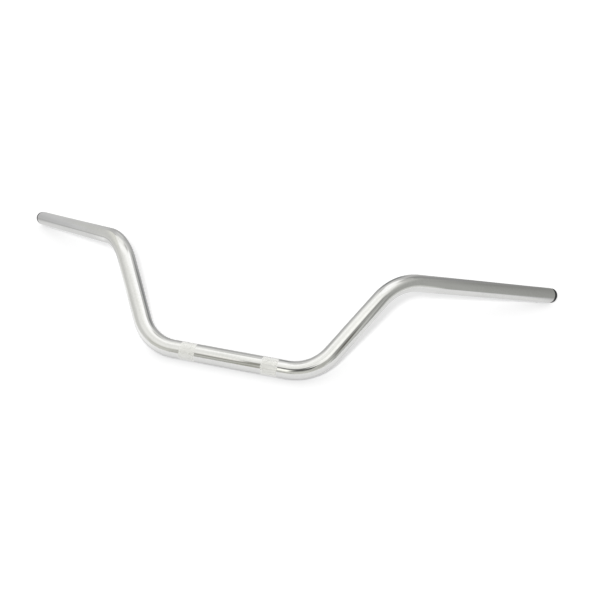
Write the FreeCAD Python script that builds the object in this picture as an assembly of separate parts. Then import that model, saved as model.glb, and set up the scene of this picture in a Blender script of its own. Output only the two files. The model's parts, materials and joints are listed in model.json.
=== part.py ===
import FreeCAD, Part
import math
import os

from FreeCAD import Placement, Rotation, Vector

# A standard motorcycle handlebar: one bent steel tube with two knurled clamp bands, and a plug in each end.
# The origin is the middle of the clamp section, on the tube's axis. X runs along the clamp axis, Y points
# from the clamp towards the grips and Z is up. The bar lies at rest on its clamp section and its two ends.

# Tube, in millimetres and degrees
tube_diameter = 22.2
tube_wall = 2.0
end_chamfer = 0.5

# Bar shape, as it is specified with the grips level
bar_width = 815.0  # between the two ends of the tube's axis
clamp_straight = 141.0  # straight run in the middle
rise = 118.0  # grips above the clamp axis
pullback = 211.0  # tube ends behind the clamp axis
riser_angle = 59.0  # risers to the clamp axis, in their own plane
riser_lean = 26.0  # plane of the risers to the vertical
lower_bend_radius = 58.0
upper_bend_radius = 67.0

# Knurled bands: straight V grooves, which run out at both ends
knurl_margin = 10.0  # plain run from each band to its bend
knurl_width = 19.5
knurl_depth = 0.45
knurl_crest = 0.7  # plain strip between two grooves

# End plugs
plug_head_step = 0.4  # head below the tube's outside, all round
plug_head_thickness = 6.0
plug_bevel = 1.5
plug_stem_length = 18.0
plug_fin_thickness = 2.4
plug_barb_length = 2.4
plug_barb_gap = 1.6
plug_barb_height = 0.9
plug_clearance = 0.1  # barbs to the bore

tube_radius = tube_diameter / 2
bore_radius = tube_radius - tube_wall
plug_head_radius = tube_radius - plug_head_step
clamp_axis = Vector(1, 0, 0)
touch = 1e-6  # points closer than this are one point


# Bar shape

def mirrored(point):
    return Vector(-point.x, point.y, point.z)


def level_corners():
    # sharp corners of the right half, with the grips level: lower bend, upper bend, tube end
    lower_tangent = lower_bend_radius * math.tan(math.radians(riser_angle) / 2)
    lower = Vector(clamp_straight / 2 + lower_tangent, 0, 0)
    riser_height = rise / math.cos(math.radians(riser_lean))
    spread = riser_height / math.tan(math.radians(riser_angle))
    upper = lower + Vector(spread, rise * math.tan(math.radians(riser_lean)), rise)
    return lower, upper, Vector(bar_width / 2, pullback, rise)


def rolled(corners, angle):
    return [Rotation(clamp_axis, angle).multVec(corner) for corner in corners]


def lowest_reach(slope):
    # how far an end hangs below the tube's axis there, where the grip falls by this angle towards its end
    # the lowest is the tube's rim or one of the two edges of the plug's bevel
    edges = [(-end_chamfer, tube_radius)]
    edges.append((plug_head_thickness - plug_bevel, plug_head_radius))
    edges.append((plug_head_thickness, plug_head_radius - plug_bevel))
    return max(out * math.sin(slope) + radius * math.cos(slope) for out, radius in edges)


def height_over_rest(angle):
    # height of the ends over the plane that the clamp section lies on, with the bar rolled by this angle
    lower, upper, end = rolled(level_corners(), angle)
    grip = (end - upper).normalize()
    return end.z - lowest_reach(math.asin(-grip.z)) + tube_radius


def rest_roll():
    # the roll about the clamp axis that brings both ends down to that plane, found by halving
    high = 0.0
    low = -90.0
    for step in range(60):
        middle = (high + low) / 2
        if height_over_rest(middle) > 0:
            high = middle
        else:
            low = middle
    return (high + low) / 2


# Tube

def rounded_path(corners, radii):
    # straight runs joined by tangent arcs, one radius for each inner corner
    edges = []
    start = corners[0]
    for before, corner, after, radius in zip(corners, corners[1:], corners[2:], radii):
        into = (corner - before).normalize()
        out = (after - corner).normalize()
        turn = into.getAngle(out)
        tangent = radius * math.tan(turn / 2)
        to_centre = (out - into).normalize()
        arc_start = corner - into * tangent
        arc_end = corner + out * tangent
        arc_middle = corner + to_centre * (radius / math.cos(turn / 2) - radius)
        edges.append(Part.LineSegment(start, arc_start).toShape())
        edges.append(Part.Arc(arc_start, arc_middle, arc_end).toShape())
        start = arc_end
    edges.append(Part.LineSegment(start, corners[-1]).toShape())
    return Part.Wire(edges)


def swept_round(path, radius):
    start = path.Edges[0]
    section = Part.Wire(Part.makeCircle(radius, start.valueAt(start.FirstParameter), start.tangentAt(0)))
    return path.makePipeShell([section], True, False)


def end_rims(tube, ends):
    # the outer circles at the two ends
    circles = [edge for edge in tube.Edges if isinstance(edge.Curve, Part.Circle)]
    outer = [edge for edge in circles if math.isclose(edge.Curve.Radius, tube_radius)]
    return [edge for edge in outer for end in ends if edge.Curve.Center.isEqual(end, touch)]


def knurl_grooves():
    # V grooves of 90 degrees along the tube, evenly spaced round it, in both bands
    proud = knurl_depth / 4  # the cutters stand this far out of the surface
    half = knurl_width / 2
    count = round(math.pi * tube_diameter / (2 * knurl_depth + knurl_crest))
    cutter = Part.makeWedge(
        -half - proud, -proud, -knurl_depth - proud, 0, -half + knurl_depth,
        half + proud, knurl_depth, knurl_depth + proud, 0, half - knurl_depth)
    band_middle = clamp_straight / 2 - knurl_margin - half
    grooves = []
    for band in (-band_middle, band_middle):
        for tooth in range(count):
            groove = cutter.translated(Vector(band, -tube_radius, 0))
            grooves.append(groove.rotate(Vector(), clamp_axis, 360 * tooth / count))
    return grooves


def make_tube(corners):
    ends = [mirrored(corners[-1]), corners[-1]]
    route = [mirrored(corner) for corner in reversed(corners)] + corners
    radii = [upper_bend_radius, lower_bend_radius, lower_bend_radius, upper_bend_radius]
    path = rounded_path(route, radii)
    tube = swept_round(path, tube_radius).cut(swept_round(path, bore_radius))
    tube = tube.makeChamfer(end_chamfer, end_rims(tube, ends))
    print("tube length", round(path.Length, 1))
    return tube.cut(knurl_grooves())


# End plug, on the X axis with its seat at the origin and its stem towards -X

def barbed_fin():
    # a flat fin across the bore, with saw-tooth barbs that slope towards the end that goes in first
    corner_radius = bore_radius - plug_clearance
    barb_reach = math.sqrt(corner_radius ** 2 - (plug_fin_thickness / 2) ** 2)
    fin_reach = barb_reach - plug_barb_height
    barb_pitch = plug_barb_length + plug_barb_gap
    side = [(0, fin_reach)]
    for barb in reversed(range(int(plug_stem_length / barb_pitch))):
        tip = barb * barb_pitch - plug_stem_length
        back = tip + plug_barb_length
        side += [(back, fin_reach), (back, barb_reach), (tip, fin_reach)]
    outline = side + [(along, -across) for along, across in reversed(side)] + side[:1]
    face = Part.Face(Part.makePolygon([Vector(along, across, 0) for along, across in outline]))
    fin = face.extrude(Vector(0, 0, plug_fin_thickness))
    return fin.translated(Vector(0, 0, -plug_fin_thickness / 2))


def make_plug():
    # a bevelled round head on two crossing fins
    rim = plug_head_radius - plug_bevel
    shoulder = plug_head_thickness - plug_bevel
    outline = [(0, 0), (plug_head_thickness, 0), (plug_head_thickness, rim)]
    outline += [(shoulder, plug_head_radius), (0, plug_head_radius), (0, 0)]
    section = Part.Face(Part.makePolygon([Vector(along, radius, 0) for along, radius in outline]))
    head = section.revolve(Vector(), clamp_axis, 360)
    fin = barbed_fin()
    cross_fin = fin.copy().rotate(Vector(), clamp_axis, 90)
    return head.fuse([fin, cross_fin]).removeSplitter()


def seated(plug, upper, end):
    # the plug with its seat on the tube's end face, pointing out along the grip
    return plug.transformed(Placement(end, Rotation(clamp_axis, end - upper)).toMatrix())


roll = rest_roll()
right_corners = rolled(level_corners(), roll)
lower_corner, upper_corner, tube_end = right_corners
print("roll to rest", round(roll, 3))
print("tube end", tube_end, "grip direction", (tube_end - upper_corner).normalize())

right_plug = seated(make_plug(), upper_corner, tube_end)
nodes = {
    "handlebar_tube": make_tube(right_corners),
    "end_plug_left": right_plug.mirror(Vector(), clamp_axis),
    "end_plug_right": right_plug,
}

os.makedirs("parts", exist_ok=True)
for name, shape in nodes.items():
    print(name, shape.ShapeType, len(shape.Solids), shape.isValid(), round(shape.Volume), len(shape.Faces))
    shape.exportStep("parts/" + name + ".step")
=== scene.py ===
import bpy
import json
import math
import numpy as np
from mathutils import Matrix, Vector


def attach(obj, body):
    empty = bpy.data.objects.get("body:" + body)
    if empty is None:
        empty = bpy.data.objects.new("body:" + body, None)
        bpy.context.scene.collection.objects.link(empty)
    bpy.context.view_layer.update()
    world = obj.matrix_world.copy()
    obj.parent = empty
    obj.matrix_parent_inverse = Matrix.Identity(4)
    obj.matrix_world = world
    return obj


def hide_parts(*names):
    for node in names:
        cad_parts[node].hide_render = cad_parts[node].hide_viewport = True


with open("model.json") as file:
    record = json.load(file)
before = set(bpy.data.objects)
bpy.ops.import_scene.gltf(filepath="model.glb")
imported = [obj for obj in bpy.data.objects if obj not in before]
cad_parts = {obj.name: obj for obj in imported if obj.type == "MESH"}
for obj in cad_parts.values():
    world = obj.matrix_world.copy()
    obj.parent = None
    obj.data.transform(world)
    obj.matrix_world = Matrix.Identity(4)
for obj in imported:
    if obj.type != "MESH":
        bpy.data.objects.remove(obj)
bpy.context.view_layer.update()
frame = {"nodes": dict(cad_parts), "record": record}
scene = bpy.context.scene
scene.view_settings.view_transform = "Standard"
print("frame loaded:", ", ".join(sorted(frame["nodes"])))


# Mesh helpers

def gridQuads(rows, columns, closeRows=False, closeColumns=False):
    # quads between neighbouring grid points; a closed direction joins its last line to its first
    row = np.arange(rows if closeRows else rows - 1)[:, None]
    column = np.arange(columns if closeColumns else columns - 1)[None, :]
    nextRow, nextColumn = (row + 1) % rows, (column + 1) % columns
    corners = [row * columns + column, nextRow * columns + column,
               nextRow * columns + nextColumn, row * columns + nextColumn]
    return np.stack(np.broadcast_arrays(*corners), -1).reshape(-1, 4)


def polePatch(pole, ring):
    # triangles from one pole point to a closed ring of points
    return np.stack([np.full(len(ring), pole), ring, np.roll(ring, -1)], -1)


def putMesh(name, points, faceSets):
    # faceSets: arrays of faces, each array with one number of corners
    sizes = np.concatenate([np.full(len(faces), faces.shape[1]) for faces in faceSets])
    corners = np.concatenate([faces.ravel() for faces in faceSets])
    mesh = bpy.data.meshes.new(name)
    mesh.vertices.add(len(points))
    mesh.vertices.foreach_set("co", points.astype(np.float32).ravel())
    mesh.loops.add(len(corners))
    mesh.loops.foreach_set("vertex_index", corners.astype(np.int32))
    mesh.polygons.add(len(sizes))
    mesh.polygons.foreach_set("loop_start", (np.cumsum(sizes) - sizes).astype(np.int32))
    mesh.polygons.foreach_set("use_smooth", np.ones(len(sizes), bool))
    mesh.update(calc_edges=True)
    mesh.validate()
    piece = bpy.data.objects.new(name, mesh)
    scene.collection.objects.link(piece)
    return piece


def putAttribute(piece, name, values):
    # one number or one vector for each point
    kind, field = ("FLOAT", "value") if values.ndim == 1 else ("FLOAT_VECTOR", "vector")
    layer = piece.data.attributes.new(name, kind, "POINT")
    layer.data.foreach_set(field, values.astype(np.float32).ravel())


def smoothStep(low, high, value):
    # 0 below low, 1 above high, 3t^2 - 2t^3 between
    t = np.clip((value - low) / (high - low), 0, 1)
    return t * t * (3 - 2 * t)


def unit(vector):
    # the same direction, one long
    return vector / np.linalg.norm(vector)


def turnedAbout(axis, angles, vector):
    # a vector turned about axis k: v cos + (k x v) sin + k (k.v)(1 - cos), one row for each angle
    cos, sin = np.cos(angles)[:, None], np.sin(angles)[:, None]
    return vector * cos + np.cross(axis, vector) * sin + axis * (axis @ vector) * (1 - cos)


# Bent tube

mounts = {mount["name"]: mount for mount in frame["record"]["mounts"]}
clampSize = mounts["clamp_section"]["dims"]  # in millimetres
barShape = {
    "tubeRadius": clampSize["r_mm"] / 1000,
    "wall": 0.002,
    "endChamfer": 0.0005,
    "barWidth": 0.815,  # between the two ends of the tube's axis
    "clampStraight": clampSize["length_mm"] / 1000,
    "rise": 0.118,  # as specified with the grips level
    "pullback": 0.211,
    "riserAngle": 59.0,  # risers to the clamp axis, in degrees
    "riserLean": 26.0,  # their plane to the vertical
    "lowerBendRadius": 0.058,
    "upperBendRadius": 0.067,
    "bendStep": 1.4,  # degrees between the rings of a bend
    "boreStep": 6.0,  # the same in the bore
    "riserRings": 4,
    "gripRings": 8,
    "endLead": 0.004,  # last stretch of a grip, with rings of its own
    "edgeGap": 0.0003,  # an extra ring so close to an edge keeps it crisp
    "chamferGap": 0.08,  # the same on the chamfer, as a share of it
    "faceGap": 0.0002,  # the same on the end face
}
knurlBands = {
    "margin": 0.010,  # plain run from each band to its bend
    "width": 0.0195,
    "depth": 0.00045,
    "teeth": 44,
    "toothPoints": (0.0, 0.142, 0.284, 0.392, 0.608, 0.716, 0.858),  # shares of one tooth
    "rings": 5,  # between a band's two run-outs
    "edgeGap": 0.0006,  # from a band to the plain ring beside it
    "softEdge": 0.0004,  # the finish changes over this, to both sides of a band's end
    "plainRings": 3,  # from the middle of the bar to a band
}


def restRoll(bar, grip):
    # the right end as it lies in the frame, against the same end with the grips level, seen along X
    halfGrip = grip["dims"]["length_mm"] / 2 / 1000  # in metres
    reach = halfGrip + bar["endChamfer"]
    end = np.array(grip["pos_m"]) + reach * np.array(grip["axis"])
    return math.atan2(end[2], end[1]) - math.atan2(bar["rise"], bar["pullback"])


def rightCorners(bar):
    # sharp corners from the middle of the clamp section to the right end,
    # worked out with the grips level and then rolled about X to rest
    angle, lean = np.radians([bar["riserAngle"], bar["riserLean"]])
    roll = restRoll(bar, mounts["grip_right"])
    tangent = bar["lowerBendRadius"] * np.tan(angle / 2)
    lower = np.array([bar["clampStraight"] / 2 + tangent, 0, 0])
    spread = bar["rise"] / np.cos(lean) / np.tan(angle)
    upper = lower + [spread, bar["rise"] * np.tan(lean), bar["rise"]]
    end = [bar["barWidth"] / 2, bar["pullback"], bar["rise"]]
    cos, sin = np.cos(roll), np.sin(roll)
    turn = np.array([[1, 0, 0], [0, cos, -sin], [0, sin, cos]])
    return np.array([np.zeros(3), lower, upper, end]) @ turn.T


def straightRings(start, way, stops, first, second, gone):
    # rings of a straight run at start + stop * way, with one pair of cross directions
    same = np.ones((len(stops), 1))
    return start + stops[:, None] * way, same * first, same * second, gone + stops


def bendRings(start, way, out, radius, q, first, second, gone):
    # rings of an arc at start + R sin(q) along + R (1 - cos(q)) inwards;
    # the cross directions turn with it
    axis = unit(np.cross(way, out))
    inwards = np.cross(axis, way)
    centres = start + radius * (np.sin(q)[:, None] * way + (1 - np.cos(q))[:, None] * inwards)
    return centres, turnedAbout(axis, q, first), turnedAbout(axis, q, second), gone + radius * q


def halfPath(bar, clampStops, gripStops, bendStep):
    # the axis of the right half: straight runs joined by tangent arcs, from the middle to the end
    # gives each ring's centre, two cross directions and distance from the middle
    corners = rightCorners(bar)
    radii = [bar["lowerBendRadius"], bar["upperBendRadius"]]
    start, way, gone = corners[0], unit(corners[1] - corners[0]), 0.0
    first, second = np.array([0.0, -1.0, 0.0]), np.array([0.0, 0.0, -1.0])
    parts = []
    for corner, after, radius in zip(corners[1:], corners[2:], radii):
        out = unit(after - corner)
        turn = np.arccos(way @ out)
        bendStart = corner - way * radius * np.tan(turn / 2)
        run = np.linalg.norm(bendStart - start)
        stops = clampStops if gone == 0 else np.linspace(0, run, bar["riserRings"] + 1)[1:]
        q = np.linspace(0, turn, int(np.degrees(turn) / bendStep) + 1)[1:]
        parts.append(straightRings(start, way, stops, first, second, gone))
        parts.append(bendRings(bendStart, way, out, radius, q, first, second, gone + run))
        start, first, second = [column[-1] for column in parts[-1][:3]]
        way, gone = out, gone + run + radius * turn
    run = np.linalg.norm(corners[-1] - start)
    plain = np.linspace(0, run - gripStops[0], bar["gripRings"] + 1)[1:]
    stops = np.concatenate([plain, run - gripStops[1:]])
    parts.append(straightRings(start, way, stops, first, second, gone))
    return [np.concatenate(column) for column in zip(*parts)]


def bandEnds(bar, bands):
    # distances from the middle of the bar at which a band begins and ends
    bandEnd = bar["clampStraight"] / 2 - bands["margin"]
    return bandEnd - bands["width"], bandEnd


def clampRings(bar, bands):
    # distances of the clamp section's rings from the middle: plain, run-out, band, run-out, plain
    bandStart, bandEnd = bandEnds(bar, bands)
    gap, runOut = bands["edgeGap"], bands["depth"]
    plain = bandStart * np.arange(bands["plainRings"]) / bands["plainRings"]
    into = bandStart + np.array([-gap, 0, runOut / 2, runOut])
    across = np.linspace(bandStart, bandEnd, bands["rings"] + 2)[1:-1]
    out = bandEnd - np.array([runOut, runOut / 2, 0, -gap])
    return np.concatenate([plain, into, across, out, [bar["clampStraight"] / 2]])


def grooveDepth(along, around, bands, bar):
    # V grooves of 90 degrees that run out at 45 degrees:
    # the smaller of depth - sideways distance and the way to the band's end
    middle = bar["clampStraight"] / 2 - bands["margin"] - bands["width"] / 2
    toEnd = bands["width"] / 2 - np.abs(np.abs(along) - middle)
    tooth = around * bands["teeth"] / (2 * np.pi)
    sideways = np.abs(tooth - np.round(tooth)) * 2 * np.pi * bar["tubeRadius"] / bands["teeth"]
    return np.clip(np.minimum(bands["depth"] - sideways[None, :], toEnd[:, None]), 0, None)


def makeTube(bar, bands):
    # a circle carried out along the outside, over the end and back through the bore:
    # centre + r (first cos + second sin); the left half is its mirror
    radius, chamfer = bar["tubeRadius"], bar["endChamfer"]
    bore = radius - bar["wall"]
    tooth = np.array(bands["toothPoints"])
    around = ((np.arange(bands["teeth"])[:, None] + tooth) * 2 * np.pi / bands["teeth"]).ravel()
    lead, gap, share = bar["endLead"], bar["edgeGap"], bar["chamferGap"]
    onChamfer = [chamfer, chamfer * (1 - share), chamfer * share, 0.0]
    outerEnd = np.array([lead, chamfer + gap, *onChamfer])
    outer = halfPath(bar, clampRings(bar, bands), outerEnd, bar["bendStep"])
    clampEnds = np.array([0.0, bar["clampStraight"] / 2])
    inner = halfPath(bar, clampEnds, np.array([lead, gap, 0.0]), bar["boreStep"])

    # radii of the rings: outside with the chamfer and the grooves, two on the end face, the bore
    distance = outer[3]
    toEnd = distance[-1] - distance
    outside = radius - np.clip(chamfer - toEnd, 0, None)[:, None]
    outside = outside - grooveDepth(distance, around, bands, bar)
    faceRings = np.array([radius - chamfer - bar["faceGap"], bore + bar["faceGap"]])
    onFace = np.repeat(faceRings[:, None], len(around), 1)
    inside = np.full((len(inner[0]), len(around)), bore)
    ringRadius = np.concatenate([outside, onFace, inside])
    *frames, along = [np.concatenate([out, np.repeat(out[-1:], len(faceRings), 0), back[::-1]])
                      for out, back in zip(outer, inner)]

    # mirror the half about the YZ plane and go round it backwards
    flip = np.array([-1.0, 1.0, 1.0])
    left = slice(-2, 0, -1)  # all rings but the first and the last, which both halves share
    centres, firsts, seconds = [np.concatenate([part, part[left] * flip]) for part in frames]
    along = np.concatenate([along, -along[left]])
    ringRadius = np.concatenate([ringRadius, ringRadius[left]])
    cos, sin = np.cos(around)[:, None], np.sin(around)[:, None]
    spokes = firsts[:, None] * cos + seconds[:, None] * sin
    points = centres[:, None] + ringRadius[..., None] * spokes
    rows, columns = ringRadius.shape
    faces = gridQuads(rows, columns, closeRows=True, closeColumns=True)
    tube = putMesh("handlebarTube", points.reshape(-1, 3), [faces])

    # attributes for the finish: a point on the straightened tube, and the knurled bands
    straightened = np.empty((rows, columns, 3))
    straightened[..., :2] = radius * np.concatenate([cos, sin], 1)
    straightened[..., 2] = along[:, None]
    putAttribute(tube, "onTube", straightened.reshape(-1, 3))
    (bandStart, bandEnd), soft = bandEnds(bar, bands), bands["softEdge"]
    onBand = smoothStep(bandStart - soft, bandStart + soft, np.abs(along))
    onBand = onBand * (1 - smoothStep(bandEnd - soft, bandEnd + soft, np.abs(along)))
    onBand = onBand[:, None] * (ringRadius > (radius + bore) / 2)  # not in the bore
    putAttribute(tube, "onBand", onBand.ravel())
    return tube


# End plugs

plugShape = {
    "headRadius": 0.0107,
    "headThickness": 0.006,
    "bevel": 0.0015,
    "cornerRadius": 0.000125,
    "cornerPoints": 5,
    "gateRadius": 0.0024,  # shallow moulding mark in the middle of the face
    "gateDepth": 0.00025,
    "poleRing": 0.0004,  # radius of the ring next to each pole
    "pointsAround": 96,
    "stemLength": 0.018,
    "finThickness": 0.0024,
    "barbLength": 0.0024,
    "barbGap": 0.0016,
    "barbHeight": 0.0009,
    "boreClearance": 0.0001,
    "sharpAngle": 40.0,  # faces that meet at more degrees than this keep a crisp edge
}


def softCorners(outline, radius, count):
    # each inner corner becomes an arc, tangent to both of its lines:
    # arc start + R sin(q) along + R (1 - cos(q)) to the side
    soft = [outline[:1]]
    for before, corner, after in zip(outline, outline[1:], outline[2:]):
        into, out = unit(corner - before), unit(after - corner)
        turn = np.arccos(np.clip(into @ out, -1, 1))
        q = np.linspace(0, turn, count)[:, None]
        side = unit(out - into * (into @ out))
        arcStart = corner - into * radius * np.tan(turn / 2)
        soft.append(arcStart + radius * (np.sin(q) * into + (1 - np.cos(q)) * side))
    soft.append(outline[-1:])
    return np.concatenate(soft)


def barbedOutline(plug, bore):
    # one side of a fin from the seat to its tip, with saw teeth that slope towards the tip,
    # then the other side back
    half = plug["finThickness"] / 2
    reach = math.sqrt((bore - plug["boreClearance"]) ** 2 - half ** 2)
    pitch = plug["barbLength"] + plug["barbGap"]
    tips = np.arange(int(plug["stemLength"] / pitch))[::-1] * pitch - plug["stemLength"]
    backs = tips + plug["barbLength"]
    high = np.full(len(tips), reach)
    low = high - plug["barbHeight"]
    teeth = np.stack([backs, low, backs, high, tips, low], -1).reshape(-1, 2)
    side = np.concatenate([[[0.0, low[0]]], teeth])
    return np.concatenate([side, side[::-1] * [1, -1]])


def plugHead(plug):
    # an outline turned about the X axis: x as it is, radius times the angle's cosine and sine
    top, edge, bevel = plug["headThickness"], plug["headRadius"], plug["bevel"]
    gate, dip, pole = plug["gateRadius"], plug["gateDepth"], plug["poleRing"]
    outline = np.array([(0, pole), (0, edge), (top - bevel, edge), (top, edge - bevel),
                        (top, gate), (top - dip, gate - dip), (top - dip, pole)])
    profile = softCorners(outline, plug["cornerRadius"], plug["cornerPoints"])
    rings, count = len(profile), plug["pointsAround"]
    angle = np.arange(count) * 2 * np.pi / count
    spokes = np.stack([np.zeros(count), np.cos(angle), np.sin(angle)], -1)
    head = profile[:, None, :1] * np.array([1.0, 0, 0]) + profile[:, None, 1:] * spokes
    poles = np.array([[0, 0, 0], [top - dip, 0, 0]])
    seatPole, facePole = rings * count, rings * count + 1
    firstRing = np.arange(count)
    lastRing = firstRing + (rings - 1) * count
    faceSets = [gridQuads(rings, count, closeColumns=True)[:, ::-1],
                polePatch(seatPole, firstRing)[:, ::-1], polePatch(facePole, lastRing)]
    return [head.reshape(-1, 3), poles], faceSets


def plugFins(plug, bore, used):
    # two flat barbed outlines that cross at a right angle,
    # each moved half its thickness to both sides
    fin = barbedOutline(plug, bore)
    half = plug["finThickness"] / 2
    points, faceSets = [], []
    for across, through in (((0, 1, 0), (0, 0, 1)), ((0, 0, 1), (0, -1, 0))):
        flat = fin[:, :1] * np.array([1.0, 0, 0]) + fin[:, 1:] * np.array(across)
        points += [flat + half * np.array(through), flat - half * np.array(through)]
        near = used + np.arange(len(fin))
        far = near + len(fin)
        rim = np.stack([near, np.roll(near, -1), np.roll(far, -1), far], -1)
        faceSets += [near[None, ::-1], far[None], rim]
        used += 2 * len(fin)
    return points, faceSets


def makePlug(name, plug, bar, mirrored):
    # head and fins made along X, then set on the tube's end with X along the grip
    head, headFaces = plugHead(plug)
    used = sum(len(part) for part in head)
    fins, finFaces = plugFins(plug, bar["tubeRadius"] - bar["wall"], used)
    upper, end = rightCorners(bar)[2:]
    out = unit(end - upper)
    side = unit(np.cross([0, 0, 1.0], out))
    seat = np.stack([out, side, np.cross(out, side)])
    points = np.concatenate(head + fins) @ seat + end
    faceSets = headFaces + finFaces
    if mirrored:
        points = points * [-1, 1, 1]
        faceSets = [faces[:, ::-1] for faces in faceSets]
    piece = putMesh(name, points, faceSets)
    piece.data.set_sharp_from_angle(angle=math.radians(plug["sharpAngle"]))
    return piece


tubePiece = makeTube(barShape, knurlBands)
plugPieces = [makePlug("endPlugRight", plugShape, barShape, False),
              makePlug("endPlugLeft", plugShape, barShape, True)]
print("pieces made:", {piece.name: len(piece.data.polygons) for piece in [tubePiece, *plugPieces]})


# Finishes

def addNode(tree, kind, place, values=None, **settings):
    # a node with its settings first, because they decide which inputs it has
    node = tree.nodes.new(kind)
    node.location = place
    for name, value in settings.items():
        setattr(node, name, value)
    for name, value in (values or {}).items():
        node.inputs[name].default_value = value
    return node


def wire(tree, *wires):
    # each wire: a node and its output, then a node and its input
    for source, output, target, entry in wires:
        tree.links.new(source.outputs[output], target.inputs[entry])


def newMaterial(name):
    # an empty material and its node tree
    material = bpy.data.materials.new(name)
    material.use_nodes = True
    material.node_tree.nodes.clear()
    return material, material.node_tree


mottleLook = {
    "clouds": {"Detail": 3.0, "Roughness": 0.55},
    "specks": {"Detail": 2.0, "Roughness": 0.6},
    "range": {"From Min": 0.14, "From Max": 0.38},  # clear below, fully marked above
}


def makeMottleGroup(look):
    # clouds times specks, as a soft mask from 0 to 1
    tree = bpy.data.node_groups.new("handledMottle", "ShaderNodeTree")
    for name, kind in (("Vector", "Vector"), ("Clouds", "Float"), ("Specks", "Float")):
        tree.interface.new_socket(name, in_out="INPUT", socket_type="NodeSocket" + kind)
    tree.interface.new_socket("Mask", in_out="OUTPUT", socket_type="NodeSocketFloat")
    start = addNode(tree, "NodeGroupInput", (-600, 0))
    clouds = addNode(tree, "ShaderNodeTexNoise", (-400, 120), look["clouds"])
    specks = addNode(tree, "ShaderNodeTexNoise", (-400, -140), look["specks"])
    both = addNode(tree, "ShaderNodeMath", (-180, 0), operation="MULTIPLY")
    spread = addNode(tree, "ShaderNodeMapRange", (0, 0), look["range"],
                     interpolation_type="SMOOTHSTEP")
    end = addNode(tree, "NodeGroupOutput", (220, 0))
    wire(tree,
         (start, "Vector", clouds, "Vector"),
         (start, "Vector", specks, "Vector"),
         (start, "Clouds", clouds, "Scale"),
         (start, "Specks", specks, "Scale"),
         (clouds, "Fac", both, 0),
         (specks, "Fac", both, 1),
         (both, 0, spread, "Value"),
         (spread, "Result", end, "Mask"))
    return tree


chromeFinish = {
    "bright": (0.668, 0.668, 0.660, 1),
    "hazy": (0.632, 0.632, 0.622, 1),
    "haze": {"Clouds": 22.0, "Specks": 420.0},  # scales of the handling marks
    "edgeTint": (0.80, 0.80, 0.80, 1),  # chromium dims a little just before the very edge
    "polishRoughness": {"To Min": 0.012, "To Max": 0.035},  # clear and hazy places
    "knurlColour": (0.76, 0.76, 0.745, 1),
    "knurlRoughness": 0.22,
    "polishLines": (1400.0, 1400.0, 12.0),  # fine across, long along the tube
    "lineNoise": {"Scale": 1.0, "Detail": 2.0},
    "lineBump": {"Strength": 0.05, "Distance": 0.00002},
}


def makeChrome(finish, mottle):
    # colour and roughness go from clear to hazy by the mottle, then to satin on the knurled bands;
    # the bump is noise stretched along the tube
    material, tree = newMaterial("polishedChrome")
    onTube = addNode(tree, "ShaderNodeAttribute", (-1100, 200), attribute_name="onTube")
    onBand = addNode(tree, "ShaderNodeAttribute", (-700, -300), attribute_name="onBand")
    haze = addNode(tree, "ShaderNodeGroup", (-850, 300), finish["haze"], node_tree=mottle)
    colour = addNode(tree, "ShaderNodeMix", (-500, 350),
                     {"A": finish["bright"], "B": finish["hazy"]}, data_type="RGBA")
    polish = addNode(tree, "ShaderNodeMapRange", (-500, 100), finish["polishRoughness"])
    rough = addNode(tree, "ShaderNodeMix", (-280, 0),
                    {"B": finish["knurlRoughness"]}, data_type="FLOAT")
    plated = addNode(tree, "ShaderNodeMix", (-280, 350),
                     {"B": finish["knurlColour"]}, data_type="RGBA")
    # the bar sends no light back to the sheet, which keeps the close shadow clear
    ray = addNode(tree, "ShaderNodeLightPath", (-280, 620))
    sentBack = addNode(tree, "ShaderNodeMix", (-100, 420), {"B": (0, 0, 0, 1)}, data_type="RGBA")
    stretch = addNode(tree, "ShaderNodeMapping", (-850, -60), {"Scale": finish["polishLines"]})
    lines = addNode(tree, "ShaderNodeTexNoise", (-650, -60), finish["lineNoise"])
    bump = addNode(tree, "ShaderNodeBump", (-280, -220), finish["lineBump"])
    shader = addNode(tree, "ShaderNodeBsdfPrincipled", (0, 100),
                     {"Metallic": 1.0, "Specular Tint": finish["edgeTint"]})
    end = addNode(tree, "ShaderNodeOutputMaterial", (300, 100))
    wire(tree,
         (onTube, "Vector", haze, "Vector"),
         (haze, "Mask", colour, "Factor"),
         (haze, "Mask", polish, "Value"),
         (polish, "Result", rough, "A"),
         (onBand, "Fac", rough, "Factor"),
         (onTube, "Vector", stretch, "Vector"),
         (stretch, "Vector", lines, "Vector"),
         (lines, "Fac", bump, "Height"),
         (colour, "Result", plated, "A"),
         (onBand, "Fac", plated, "Factor"),
         (plated, "Result", sentBack, "A"),
         (ray, "Is Diffuse Ray", sentBack, "Factor"),
         (sentBack, "Result", shader, "Base Color"),
         (rough, "Result", shader, "Roughness"),
         (bump, "Normal", shader, "Normal"),
         (shader, "BSDF", end, "Surface"))
    return material


plasticFinish = {
    "deep": (0.010, 0.010, 0.011, 1),
    "dusty": (0.022, 0.022, 0.023, 1),
    "dust": {"Clouds": 160.0, "Specks": 2400.0},  # scales of the dust
    "roughness": {"To Min": 0.36, "To Max": 0.52},  # clean and dusty places
    "gloss": 0.30,
    "grain": {"Scale": 5200.0, "Detail": 2.0},
    "grainBump": {"Strength": 0.25, "Distance": 0.00004},
}


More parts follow.
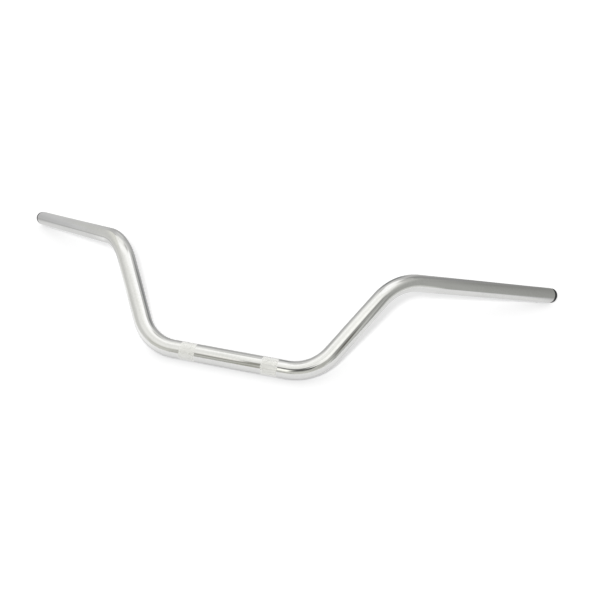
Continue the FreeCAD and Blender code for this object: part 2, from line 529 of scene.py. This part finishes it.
def makePlastic(finish, mottle):
    # colour and roughness go from clean to dusty by the mottle; the bump is a fine moulded grain
    material, tree = newMaterial("blackMouldedPlastic")
    place = addNode(tree, "ShaderNodeTexCoord", (-1000, 200))
    dust = addNode(tree, "ShaderNodeGroup", (-750, 300), finish["dust"], node_tree=mottle)
    colour = addNode(tree, "ShaderNodeMix", (-450, 350),
                     {"A": finish["deep"], "B": finish["dusty"]}, data_type="RGBA")
    rough = addNode(tree, "ShaderNodeMapRange", (-450, 100), finish["roughness"])
    grain = addNode(tree, "ShaderNodeTexNoise", (-750, -100), finish["grain"])
    bump = addNode(tree, "ShaderNodeBump", (-250, -150), finish["grainBump"])
    shader = addNode(tree, "ShaderNodeBsdfPrincipled", (0, 100),
                     {"Metallic": 0.0, "Specular IOR Level": finish["gloss"]})
    end = addNode(tree, "ShaderNodeOutputMaterial", (300, 100))
    wire(tree,
         (place, "Object", dust, "Vector"),
         (place, "Object", grain, "Vector"),
         (dust, "Mask", colour, "Factor"),
         (dust, "Mask", rough, "Value"),
         (grain, "Fac", bump, "Height"),
         (colour, "Result", shader, "Base Color"),
         (rough, "Result", shader, "Roughness"),
         (bump, "Normal", shader, "Normal"),
         (shader, "BSDF", end, "Surface"))
    return material


mottleGroup = makeMottleGroup(mottleLook)
tubePiece.data.materials.append(makeChrome(chromeFinish, mottleGroup))
blackPlastic = makePlastic(plasticFinish, mottleGroup)
for piece in plugPieces:
    piece.data.materials.append(blackPlastic)
print("finishes made")


# Camera of the photograph

photoCamera = {
    "lens": 30.0,
    "place": (0.15587, -0.40822, 0.42682),
    "azimuth": 10.21,  # degrees
    "elevation": 37.674,
    "roll": 3.075,
    "clip": (0.01, 50.0),
}


def makeCamera(view):
    # turned to its azimuth, tilted down to its elevation, then rolled about its own line of sight
    data = bpy.data.cameras.new("photoCamera")
    data.lens = view["lens"]
    data.clip_start, data.clip_end = view["clip"]
    camera = bpy.data.objects.new("photoCamera", data)
    scene.collection.objects.link(camera)
    turn = Matrix.Rotation(math.radians(view["azimuth"]), 4, "Z")
    tilt = Matrix.Rotation(math.radians(90 - view["elevation"]), 4, "X")
    lean = Matrix.Rotation(math.radians(view["roll"]), 4, "Z")
    camera.matrix_world = Matrix.Translation(view["place"]) @ turn @ tilt @ lean
    scene.camera = camera
    return camera.matrix_world


cameraFrame = makeCamera(photoCamera)
print("camera set")


# White sheet, lamp and light tent

def softPatch(at, half, soft, tone, tint=None, turn=0):
    # a rectangle: its middle, half size and soft edge in metres, its tone,
    # and its own tint and degrees of turn where it has them
    return {"at": at, "half": half, "soft": soft, "tone": tone, "tint": tint, "turn": turn}


def patchCover(a, b, patch):
    # 1 inside a rectangle turned in its plane, 0 outside, soft at its edges
    turn = math.radians(patch["turn"])
    fromA, fromB = a - patch["at"][0], b - patch["at"][1]
    u = np.abs(fromA * math.cos(turn) + fromB * math.sin(turn))
    v = np.abs(fromB * math.cos(turn) - fromA * math.sin(turn))
    (halfU, halfV), (softU, softV) = patch["half"], patch["soft"]
    coverU = 1 - smoothStep(halfU - softU, halfU + softU, u)
    return coverU * (1 - smoothStep(halfV - softV, halfV + softV, v))


lampLook = {
    "leftOfCamera": 0.045,  # close to the camera, so that shadows stay close to the bar
    "aboveCamera": 0.046,
    "radius": 0.030,
    "level": 0.55,  # light on a surface that faces the lamp, at any distance
}
lampPlace = cameraFrame @ Vector((-lampLook["leftOfCamera"], lampLook["aboveCamera"], 0))
worldLook = {"level": 0.50}  # light from all round
sheetLook = {
    "halfSize": 6.0,
    "height": -0.0111,  # under the clamp section and both ends
    "colour": 0.80,
    # a little over white where nothing shades it, so that only the close shadow shows
    "white": 1.11,
    # a painted pool of light, brighter by the left riser
    "paintedLightPool": softPatch((-0.22, 0.00), (0.09, 0.07), (0.05, 0.05), 0.28),
    "points": 241,
}


def seenRays(tree, place):
    # 1 for a ray of the camera, of gloss or of glass, 0 for one that carries light to a surface
    x, y = place
    ray = addNode(tree, "ShaderNodeLightPath", (x, y))
    direct = addNode(tree, "ShaderNodeMath", (x + 180, y), operation="MAXIMUM")
    seen = addNode(tree, "ShaderNodeMath", (x + 360, y), operation="MAXIMUM")
    wire(tree,
         (ray, "Is Camera Ray", direct, 0),
         (ray, "Is Glossy Ray", direct, 1),
         (direct, 0, seen, 0),
         (ray, "Is Transmission Ray", seen, 1))
    return seen


def makeSheet(look, lamp, around):
    # a flat square, its lines closest together under the bar: distance = half size * t^3
    # lift = what the sheet lacks where nothing shades it:
    # white - colour * (light all round + lamp * cosine)
    line = look["halfSize"] * np.linspace(-1, 1, look["points"]) ** 3
    x, y = np.meshgrid(line, line, indexing="ij")
    points = np.stack([x, y, np.full(x.shape, look["height"])], -1).reshape(-1, 3)
    sheet = putMesh("whiteSheet", points, [gridQuads(*x.shape)])
    toLamp = np.array(lampPlace) - points
    cosine = toLamp[:, 2] / np.linalg.norm(toLamp, axis=1)
    # the painted pool of light lifts the sheet's white by the left riser
    paintedLightPool = look["paintedLightPool"]
    white = look["white"] + paintedLightPool["tone"] * patchCover(points[:, 0], points[:, 1], paintedLightPool)
    grey = look["colour"]
    putAttribute(sheet, "lift", white - grey * (around["level"] + lamp["level"] * cosine))
    material, tree = newMaterial("whitePaper")
    need = addNode(tree, "ShaderNodeAttribute", (-400, -160), attribute_name="lift")
    lift = addNode(tree, "ShaderNodeMath", (-150, 0), operation="MULTIPLY")
    paper = addNode(tree, "ShaderNodeBsdfDiffuse", (0, 120), {"Color": (grey, grey, grey, 1)})
    glow = addNode(tree, "ShaderNodeEmission", (0, -60))
    both = addNode(tree, "ShaderNodeAddShader", (200, 50))
    end = addNode(tree, "ShaderNodeOutputMaterial", (400, 50))
    wire(tree,
         (seenRays(tree, (-760, 60)), 0, lift, 0),
         (need, "Fac", lift, 1),
         (lift, 0, glow, "Strength"),
         (paper, "BSDF", both, 0),
         (glow, "Emission", both, 1),
         (both, "Shader", end, "Surface"))
    sheet.data.materials.append(material)


def makeLamp(look):
    # a small round lamp, as bright near as far;
    # 4 pi^2 watts light a white surface that faces it to level 1
    data = bpy.data.lights.new("softLamp", "POINT")
    data.shadow_soft_size = look["radius"]
    data.energy = 4 * math.pi ** 2 * look["level"]
    data.use_nodes = True
    tree = data.node_tree
    falloff = addNode(tree, "ShaderNodeLightFalloff", (-200, 0), {"Strength": 1.0})
    wire(tree, (falloff, "Constant", tree.nodes["Emission"], "Strength"))
    lamp = bpy.data.objects.new("softLamp", data)
    lamp.location = lampPlace
    lamp.visible_glossy = False
    scene.collection.objects.link(lamp)


def makeWorld(look):
    # plain white to the eye, and a lower level as light
    world = bpy.data.worlds.new("whiteStudio")
    world.use_nodes = True
    tree = world.node_tree
    white = tree.nodes["Background"]
    white.inputs["Color"].default_value = (1, 1, 1, 1)
    level = addNode(tree, "ShaderNodeMapRange", (-200, 0), {"To Min": look["level"], "To Max": 1.0})
    wire(tree,
         (seenRays(tree, (-760, 0)), 0, level, "Value"),
         (level, "Result", white, "Strength"))
    scene.world = world


tentBox = {
    "low": (-0.55, -0.42, -0.0110),  # just above the sheet
    "high": (0.47, 0.40, 0.45),
    "spacing": 0.006,
}
# wall: the axis that a panel stands across and its side of the box; from: where it begins in Y
# base tone and tint: the panel's own glow and its colour, painted light and painted shade that only
# reflections see; its patches of painted light and painted shade lie over it in this order
tentPanels = {
    "ceiling": {"wall": (2, "high"), "paintedTone": 1.15, "tint": (1.0, 1.0, 0.97), "patches": {
        "lampGlow": softPatch((-0.10, 0.14), (0.40, 0.10), (0.10, 0.07), 1.43, (1, 1, 0.985)),
        "lampBackLeft": softPatch((-0.38, 0.34), (0.16, 0.10), (0.05, 0.06), 1.28),
        "lampEdge": softPatch((0.09, 0.22), (0.13, 0.17), (0.06, 0.05), 1.49, (1, 1, 1)),
        "glowFront": softPatch((-0.02, 0.00), (0.08, 0.08), (0.04, 0.05), 1.33),
        "brightFront": softPatch(
            (-0.16, -0.32), (0.045, 0.08), (0.03, 0.05), 1.32, (1, 0.99, 0.95)),
        "dimBack": softPatch((-0.105, 0.38), (0.07, 0.10), (0.06, 0.06), 0.68),
        "paleLeft": softPatch((-0.30, -0.27), (0.07, 0.08), (0.04, 0.05), 1.22),
        "dimLeft": softPatch((-0.52, -0.22), (0.12, 0.22), (0.10, 0.10), 1.00),
        "paleFront": softPatch((0.155, -0.18), (0.105, 0.17), (0.05, 0.08), 1.47),
        "greyRight": softPatch((0.48, 0.15), (0.10, 0.35), (0.07, 0.05), 0.82),
        "greyBackRight": softPatch((0.42, 0.34), (0.15, 0.14), (0.05, 0.05), 0.66),
        "darkRightFront": softPatch((0.46, -0.26), (0.15, 0.15), (0.06, 0.05), 0.42),
        "cameraTop": softPatch((0.03, -0.37), (0.08, 0.12), (0.04, 0.05), 0.25),
        "cameraSide": softPatch((-0.07, -0.40), (0.04, 0.12), (0.02, 0.06), 0.42, (1, 1, 0.90)),
    }},
    "right": {"wall": (0, "high"), "paintedTone": 0.52, "tint": (0.99, 1.0, 0.96), "patches": {
        "dimBack": softPatch((0.38, 0.10), (0.16, 0.14), (0.12, 0.10), 0.38),
        "paleTop": softPatch((0.12, 0.46), (0.18, 0.12), (0.08, 0.10), 0.70),
        "frontLow": softPatch((-0.38, 0.06), (0.10, 0.10), (0.06, 0.06), 0.90),
        "standStreak": softPatch(
            (-0.25, 0.27), (0.12, 0.04), (0.08, 0.03), 0.18, (1.06, 1.0, 0.88), 115),
        "standFoot": softPatch((-0.14, 0.13), (0.05, 0.10), (0.03, 0.05), 0.72),
        "footShade": softPatch((-0.055, 0.12), (0.03, 0.06), (0.02, 0.03), 0.42),
        "floorGlow": softPatch((0.015, 0.00), (0.03, 0.06), (0.02, 0.03), 0.85),
    }},
    "back": {"wall": (1, "high"), "paintedTone": 0.70, "tint": (1.0, 1.0, 0.99), "patches": {
        "paleTop": softPatch((-0.16, 0.46), (0.30, 0.14), (0.08, 0.12), 1.03),
        "paleLeft": softPatch((-0.52, 0.05), (0.10, 0.10), (0.05, 0.06), 0.86),
        "dimMiddle": softPatch((-0.18, 0.08), (0.15, 0.08), (0.05, 0.06), 0.60),
        "paleSide": softPatch((-0.27, 0.21), (0.06, 0.06), (0.03, 0.04), 0.92),
        "greyRight": softPatch((0.42, 0.20), (0.13, 0.40), (0.05, 0.10), 0.42),
        "darkLow": softPatch((0.085, 0.06), (0.10, 0.13), (0.04, 0.06), 0.34, (0.97, 1.0, 1.01)),
        "lowGlow": softPatch((0.20, 0.05), (0.04, 0.05), (0.02, 0.04), 0.85),
    }},
    "left": {"wall": (0, "low"), "paintedTone": 0.84, "tint": (1.0, 1.0, 0.97), "patches": {
        "paleTop": softPatch((0.26, 0.43), (0.24, 0.20), (0.10, 0.10), 1.02, (1, 1, 0.94)),
        "paleHigh": softPatch((-0.08, 0.40), (0.12, 0.06), (0.06, 0.05), 0.98),
        "greyLow": softPatch((0.30, 0.02), (0.12, 0.06), (0.04, 0.03), 0.85, (1, 1, 1.01)),
        "dimLow": softPatch((0.27, 0.01), (0.05, 0.03), (0.04, 0.03), 0.74, (1, 1, 1.01)),
        "floorGlow": softPatch((-0.18, -0.01), (0.30, 0.06), (0.06, 0.06), 1.20),
    }},
    "front": {"wall": (1, "low"), "paintedTone": 0.80, "tint": (1.0, 1.0, 0.94), "patches": {
        "floorGlow": softPatch((-0.09, -0.01), (0.55, 0.03), (0.10, 0.06), 1.04),
        "paleTopLeft": softPatch((-0.38, 0.46), (0.12, 0.09), (0.05, 0.04), 1.05),
        "dimBand": softPatch((-0.14, 0.16), (0.11, 0.19), (0.04, 0.05), 0.66),
        "darkLine": softPatch((-0.19, 0.28), (0.045, 0.035), (0.03, 0.03), 0.28, (1.01, 1.0, 0.90)),
        "paleLine": softPatch((-0.13, 0.26), (0.04, 0.03), (0.03, 0.03), 0.40, (1.03, 1.0, 0.90)),
        "secondLine": softPatch((-0.06, 0.05), (0.15, 0.025), (0.03, 0.02), 0.53),
        "brightTop": softPatch((-0.15, 0.44), (0.045, 0.06), (0.03, 0.03), 1.08, (1.02, 1.0, 0.94)),
        "darkSide": softPatch((-0.085, 0.38), (0.03, 0.12), (0.02, 0.04), 0.40, (1.0, 1.0, 0.88)),
        "dimFoot": softPatch((-0.07, 0.08), (0.03, 0.06), (0.03, 0.03), 0.50, (1.0, 1.0, 0.88)),
        "thinLine": softPatch((-0.40, 0.27), (0.13, 0.05), (0.05, 0.04), 0.70),
        "dimRight": softPatch((0.38, 0.27), (0.14, 0.20), (0.06, 0.10), 0.62),
        "paleStrip": softPatch((-0.005, 0.30), (0.035, 0.11), (0.02, 0.07), 1.60),
        "camera": softPatch((0.13, 0.40), (0.09, 0.16), (0.03, 0.12), 0.12),
    }},
    # a floor panel just above the sheet: painted shade behind the bar and painted light to its
    # left, seen only in reflections
    "floor": {"wall": (2, "low"), "from": 0.055, "paintedTone": 1.03, "tint": (1, 1, 1), "patches": {
        "greyBehind": softPatch((-0.13, 0.30), (0.09, 0.23), (0.02, 0.03), 0.58),
        "paleBehind": softPatch((0.03, 0.30), (0.06, 0.22), (0.02, 0.03), 0.78),
        "greyLeft": softPatch((-0.53, 0.24), (0.08, 0.13), (0.03, 0.03), 0.66),
        "brightLeft": softPatch((-0.27, 0.09), (0.13, 0.045), (0.05, 0.02), 1.45),
        "paleRight": softPatch((0.20, 0.11), (0.06, 0.08), (0.03, 0.03), 1.12),
        "greyRight": softPatch((0.475, 0.20), (0.045, 0.18), (0.03, 0.05), 0.55),
    }},
}


def paintedLightColour(a, b, panel):
    # the panel's painted tone times its tint, then each painted patch over it by its cover
    colour = np.full(a.shape + (3,), panel["paintedTone"]) * panel["tint"]
    for patch in panel["patches"].values():
        own = patch["tone"] * np.array(patch["tint"] or panel["tint"])
        colour = colour + (own - colour) * patchCover(a, b, patch)[..., None]
    return colour


def makeTent(box, panels):
    # flat glowing panels close round the bar, with painted light and painted shade on them; only
    # reflections see them
    material, tree = newMaterial("tentPaintedLight")
    paintedTone = addNode(tree, "ShaderNodeAttribute", (-200, 0), attribute_name="paintedLightColour")
    glow = addNode(tree, "ShaderNodeEmission", (0, 0), {"Strength": 1.0})
    end = addNode(tree, "ShaderNodeOutputMaterial", (200, 0))
    wire(tree, (paintedTone, "Vector", glow, "Color"), (glow, "Emission", end, "Surface"))
    for name, panel in panels.items():
        axis, side = panel["wall"]
        low, high = list(box["low"]), list(box["high"])
        low[1] = panel.get("from", low[1])
        ways = [way for way in range(3) if way != axis]
        counts = [int((high[way] - low[way]) / box["spacing"]) + 1 for way in ways]
        lines = [np.linspace(low[way], high[way], count) for way, count in zip(ways, counts)]
        a, b = np.meshgrid(*lines, indexing="ij")
        points = np.full((a.size, 3), box[side][axis])
        points[:, ways[0]], points[:, ways[1]] = a.ravel(), b.ravel()
        sheet = putMesh("tent." + name, points, [gridQuads(*a.shape)])
        putAttribute(sheet, "paintedLightColour", paintedLightColour(a, b, panel).reshape(-1, 3))
        sheet.data.materials.append(material)
        for ray in ("camera", "diffuse", "shadow", "transmission"):
            setattr(sheet, "visible_" + ray, False)


makeSheet(sheetLook, lampLook, worldLook)
makeLamp(lampLook)
makeWorld(worldLook)
makeTent(tentBox, tentPanels)
print("studio made")


# Each piece rides on the bar and stands for its solid
carried = (
    (tubePiece, "handlebar_tube", "chrome"),
    (plugPieces[0], "end_plug_right", "black_plastic"),
    (plugPieces[1], "end_plug_left", "black_plastic"),
)
for piece, node, slotName in carried:
    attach(piece, "root")
    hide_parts(node)
